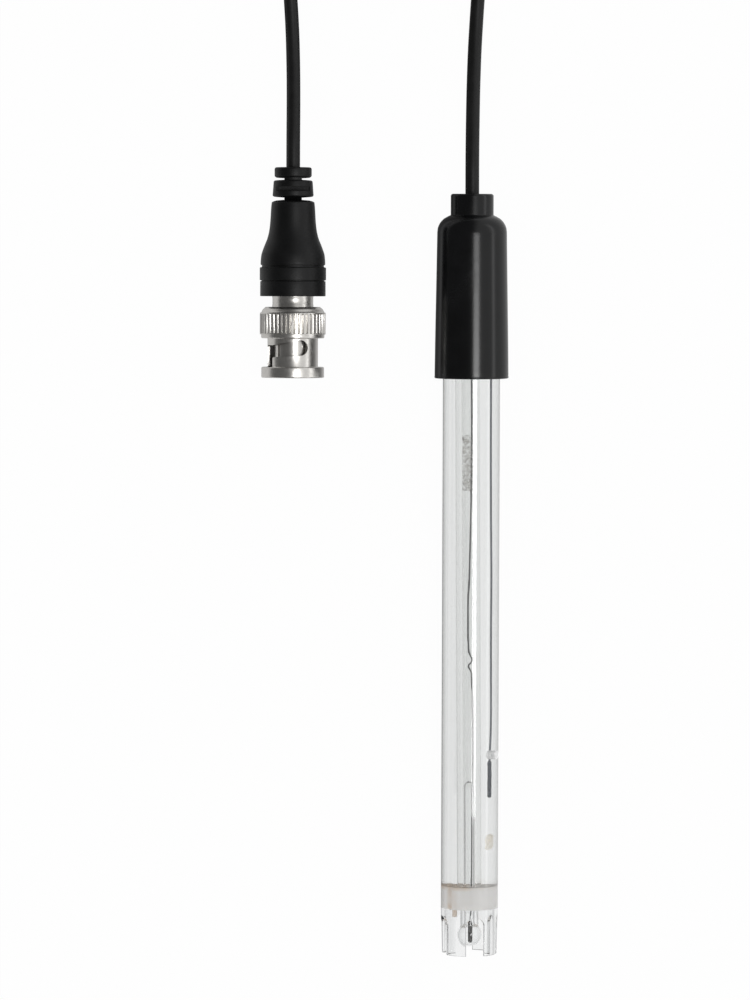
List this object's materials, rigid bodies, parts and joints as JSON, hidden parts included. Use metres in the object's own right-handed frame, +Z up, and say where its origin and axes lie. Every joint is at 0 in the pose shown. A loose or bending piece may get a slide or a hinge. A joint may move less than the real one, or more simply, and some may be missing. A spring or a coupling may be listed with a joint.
{
  "type": "ph electrode",
  "caption": "Combination pH electrode: glass bulb stem in a clear slotted guard tube, moulded cap, and a thin coiled cord that ends in a bayonet coax connector with a sprung nut.",
  "frame": {"origin": "on the table, under the middle of the electrode", "axes": "+Y along the electrode from its glass tip to its cap, +Z up, +X from the connector to the electrode"},
  "size_m": [0.0524, 0.2739, 0.0156],
  "materials": {
    "clear_plastic": "clear, polished",
    "black_gloss": "moulded, glossy",
    "stem_glass": "clear",
    "milky_seal": "milky silicone",
    "wick_beige": "porous",
    "stopper_rubber": "matt",
    "potting_resin": "cast",
    "silver_wire": "drawn",
    "silver_chloride": "coated",
    "clear_gel": "clear gel",
    "cord_jacket": "satin",
    "splice_sleeve": "shrunk",
    "nickel_plate": "bright nickel plate",
    "spring_steel": "rolled",
    "white_ptfe": "turned",
    "gilt_pin": "gilt",
    "gasket_rubber": "matt",
    "black_boot": "moulded, matt",
    "strap_fabric": "woven"
  },
  "bodies": {
    "probe": {"body_tube": "clear_plastic", "fill_port_plug": "clear_plastic", "cable_cap": "black_gloss", "glass_stem": "stem_glass", "lower_seal": "milky_seal", "junction_wick": "wick_beige", "tube_stopper": "stopper_rubber", "cap_potting": "potting_resin", "inner_wire": "silver_wire", "inner_element": "silver_chloride", "reference_wire": "silver_wire", "reference_element": "silver_chloride", "reference_gel": "clear_gel", "cable_tail": "cord_jacket", "splice_sleeve": "splice_sleeve", "cord_from_cap": "cord_jacket", "cord_coil": "cord_jacket", "coil_tie": "strap_fabric", "cord_to_connector": "cord_jacket", "connector_boot": "black_boot", "connector_tail": "cord_jacket", "crimp_ferrule": "nickel_plate", "connector_body": "nickel_plate", "outer_contact": "nickel_plate", "insulator": "white_ptfe", "centre_pin": "gilt_pin", "gasket": "gasket_rubber", "wave_washer": "spring_steel"},
    "nut_carriage": {"thrust_washer": "nickel_plate"},
    "coupling": {"coupling_nut": "nickel_plate", "retaining_ring": "spring_steel"}
  },
  "joints": [
    {"name": "nut_slide", "type": "slide", "parent": "probe", "child": "nut_carriage", "axis": [0, -1, 0], "range_m": [0, 0.0008], "stiffness_N_per_m": 800, "springref_m": -0.001, "deforming": ["wave_washer"]},
    {"name": "nut_spin", "type": "hinge", "parent": "nut_carriage", "child": "coupling", "pos_m": [-0.0376, 0.0485, 0.00698], "axis": [0, 1, 0], "continuous": true}
  ]
}
